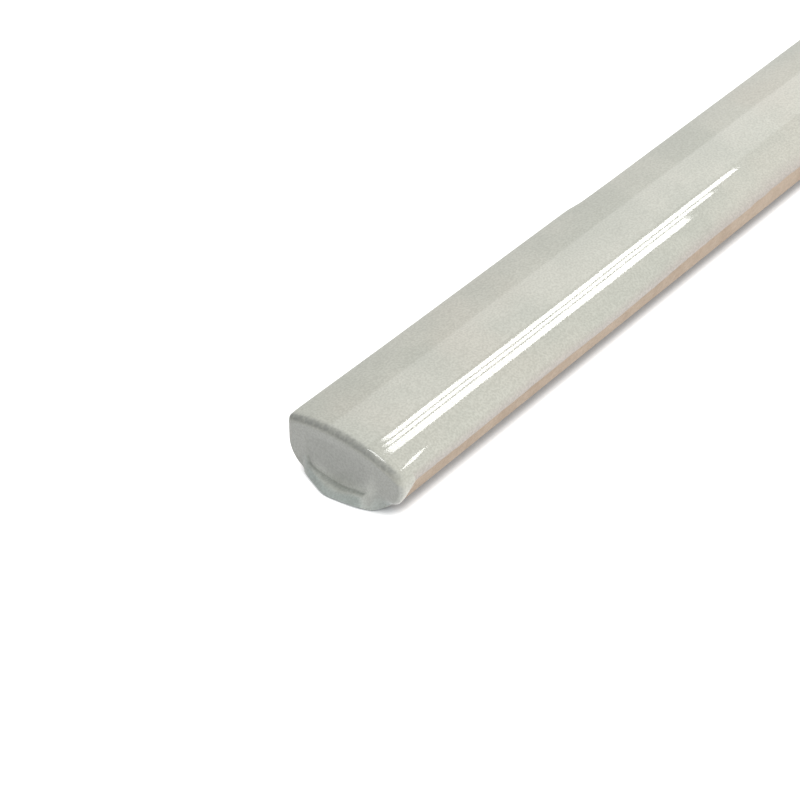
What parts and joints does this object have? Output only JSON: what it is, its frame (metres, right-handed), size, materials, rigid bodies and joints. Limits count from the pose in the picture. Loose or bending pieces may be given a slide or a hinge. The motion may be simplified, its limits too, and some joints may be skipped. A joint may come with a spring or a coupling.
{
  "type": "demi bullnose trim tile",
  "caption": "Narrow glazed ceramic trim bar with a gently domed face, a rounded nose along one side and a bare clay strip below its glaze line, for edging tile work.",
  "frame": {"origin": "middle of the flat back, at the bottom centre of the bounding box", "axes": "+X along the tile away from the end with the lip, +Y towards the straight long side, +Z out of the glazed face"},
  "size_m": [0.152, 0.0194, 0.0091],
  "materials": {
    "glazed_ceramic": "glossy off-white glaze over buff bisque"
  },
  "bodies": {
    "root": {"trim_tile": "glazed_ceramic"}
  },
  "joints": []
}
